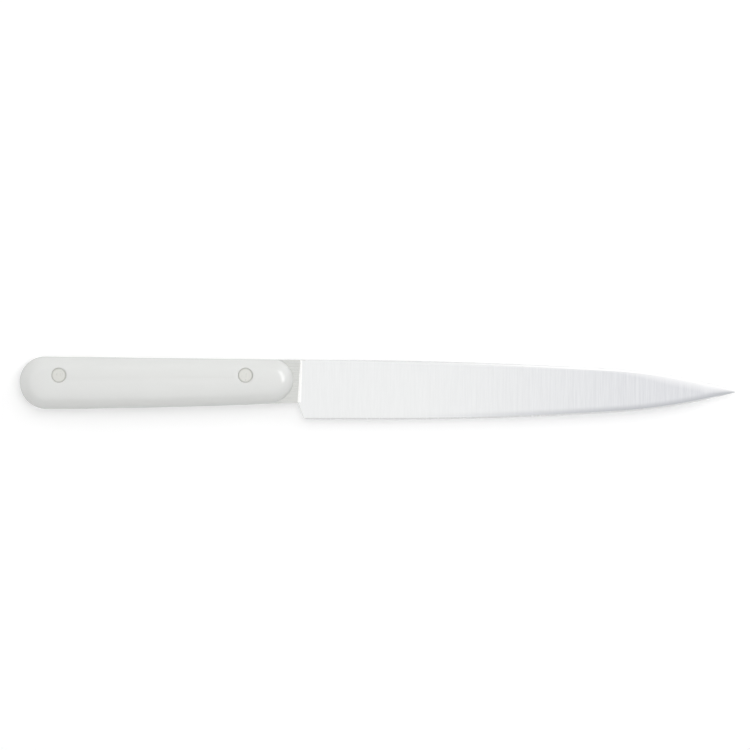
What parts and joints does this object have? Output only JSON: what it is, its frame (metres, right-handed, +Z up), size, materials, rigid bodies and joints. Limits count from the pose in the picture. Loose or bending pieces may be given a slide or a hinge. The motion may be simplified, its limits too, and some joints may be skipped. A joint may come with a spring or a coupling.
{
  "type": "carving knife",
  "caption": "Full-tang carving knife with a long slender blade and smooth rounded handle scales held by flush rivets.",
  "frame": {"origin": "on the surface the knife lies on, below the middle of its outline", "axes": "+X towards the blade's point, +Y towards the spine, +Z up, out of the blade's right face"},
  "size_m": [0.3338, 0.0294, 0.0164],
  "materials": {
    "blade_steel": "cross-brushed stainless steel",
    "scale_plastic": "polished white moulded plastic",
    "rivet_steel": "satin stainless steel, ground flush"
  },
  "bodies": {
    "root": {"blade": "blade_steel", "right_scale": "scale_plastic", "left_scale": "scale_plastic", "front_rivet_pin": "rivet_steel", "front_rivet_sleeve": "rivet_steel", "rear_rivet_pin": "rivet_steel", "rear_rivet_sleeve": "rivet_steel"}
  },
  "joints": []
}
